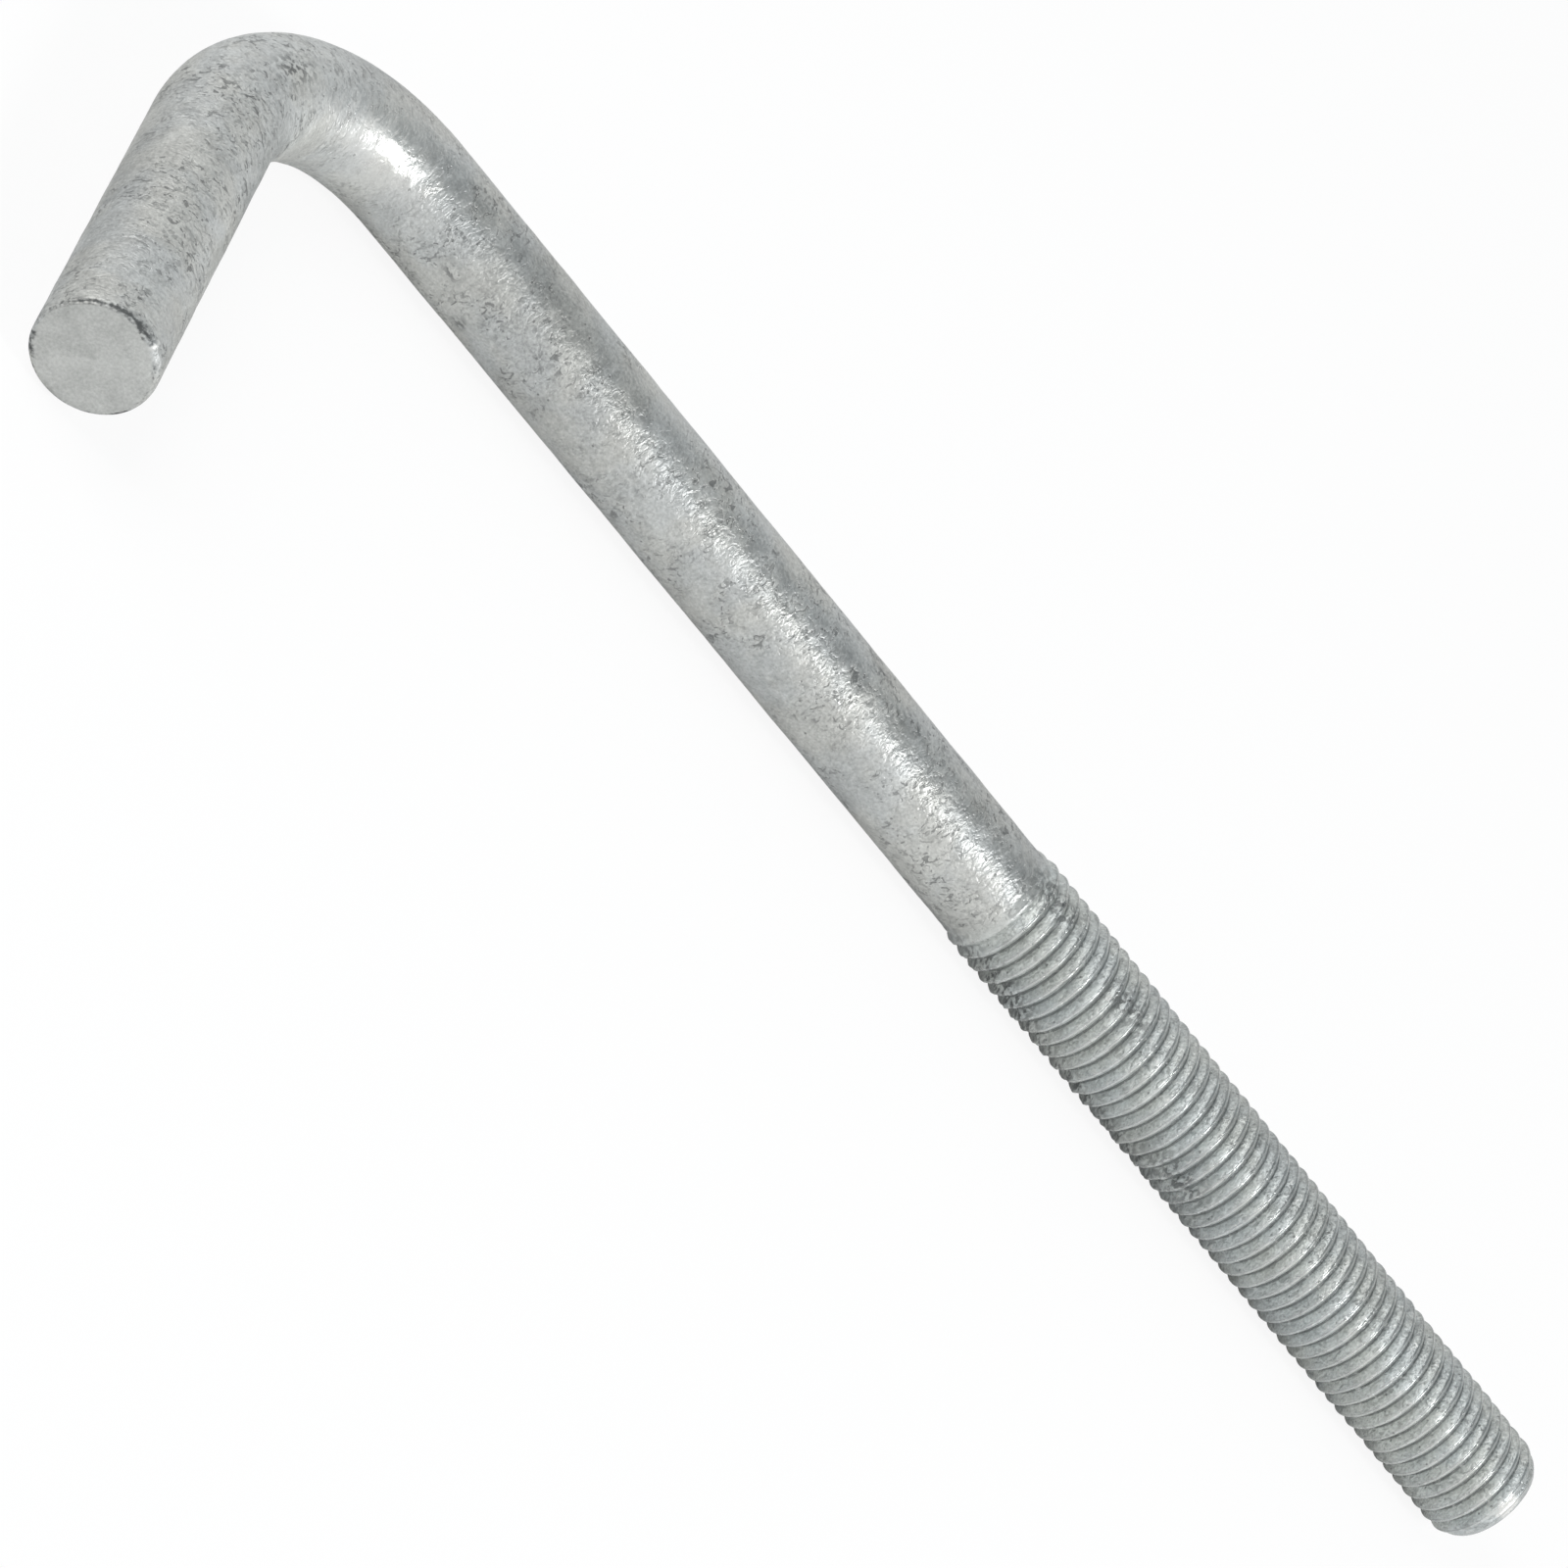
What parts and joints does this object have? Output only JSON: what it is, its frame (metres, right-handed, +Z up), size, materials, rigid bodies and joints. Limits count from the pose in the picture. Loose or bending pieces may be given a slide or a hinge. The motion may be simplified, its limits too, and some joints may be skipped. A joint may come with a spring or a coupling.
{
  "type": "l-shaped anchor bolt",
  "caption": "Round galvanised steel bar bent square into a hook at one end and threaded at the other, cast into concrete to hold down a plate or sill.",
  "frame": {"origin": "middle of the bolt's outline on the plane that it lies on", "axes": "+X along the shank towards the threaded tip, +Z up, and the hook points along -Y"},
  "size_m": [0.3048, 0.0958, 0.0191],
  "materials": {
    "galvanised_steel": "hot-dip galvanised, dull grey with a fine grain"
  },
  "bodies": {
    "root": {"anchor_bolt": "galvanised_steel"}
  },
  "joints": []
}
